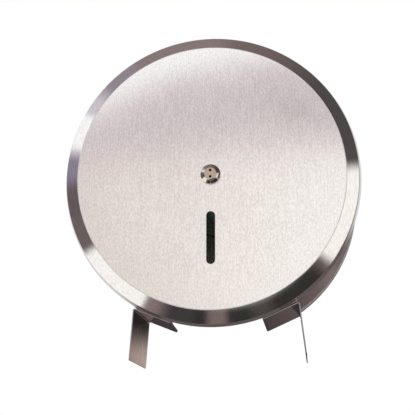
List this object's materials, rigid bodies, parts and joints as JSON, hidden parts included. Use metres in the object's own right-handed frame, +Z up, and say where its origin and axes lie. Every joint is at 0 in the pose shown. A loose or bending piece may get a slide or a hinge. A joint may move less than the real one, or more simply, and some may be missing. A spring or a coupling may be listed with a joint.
{
  "type": "jumbo toilet roll dispenser",
  "caption": "Round steel jumbo roll dispenser for a wall: hinged locking cover with a view slot, turning core hub and bent tear blades under the outlet.",
  "frame": {"origin": "where the roll's axis meets the wall, on the flat back of the pan", "axes": "+Z up, -Y out of the wall towards the user, +X to the user's right"},
  "size_m": [0.2711, 0.1303, 0.296],
  "materials": {
    "cover_steel": "fine vertical brushing, satin",
    "case_steel": "brushed along the sheet",
    "plain_steel": "plain, as rolled",
    "bright_steel": "bright, machine made",
    "lock_chrome": "polished chrome",
    "zinc": "zinc plated",
    "hub_plastic": "moulded, near black",
    "bush_plastic": "natural white acetal",
    "buffer_rubber": "matt black"
  },
  "bodies": {
    "case": {"back_pan": "case_steel", "drum_wall": "case_steel", "left_tear_blade": "case_steel", "right_tear_blade": "case_steel", "hinge_drum_leaf": "plain_steel", "hinge_pin": "bright_steel", "hinge_rivets": "bright_steel", "spindle_flange": "plain_steel", "spindle_rivets": "bright_steel", "spindle_tube": "plain_steel", "spindle_end_cap": "lock_chrome", "hub_rear_washer": "bush_plastic", "hub_front_washer": "bright_steel"},
    "cover": {"front_cover": "cover_steel", "hinge_cover_leaf": "plain_steel", "cover_buffers": "buffer_rubber", "lock_collar": "lock_chrome", "lock_washer": "plain_steel", "lock_nut": "zinc"},
    "lock": {"lock_rotor": "lock_chrome", "rotor_clip": "bright_steel", "lock_cam": "zinc", "cam_washer": "bright_steel", "cam_screw": "bright_steel"},
    "hub": {"core_hub": "hub_plastic", "hub_front_bush": "bush_plastic", "hub_rear_bush": "bush_plastic"}
  },
  "joints": [
    {"name": "cover_hinge", "type": "hinge", "parent": "case", "child": "cover", "pos_m": [-0.13465, -0.09, 0.005], "axis": [0, 0, -1], "range_deg": [0, 110]},
    {"name": "lock_turn", "type": "hinge", "parent": "cover", "child": "lock", "pos_m": [0, -0.125, 0], "axis": [0, 1, 0], "range_deg": [0, 90]},
    {"name": "hub_spin", "type": "hinge", "parent": "case", "child": "hub", "pos_m": [0, -0.05, 0], "axis": [0, -1, 0], "continuous": true}
  ]
}
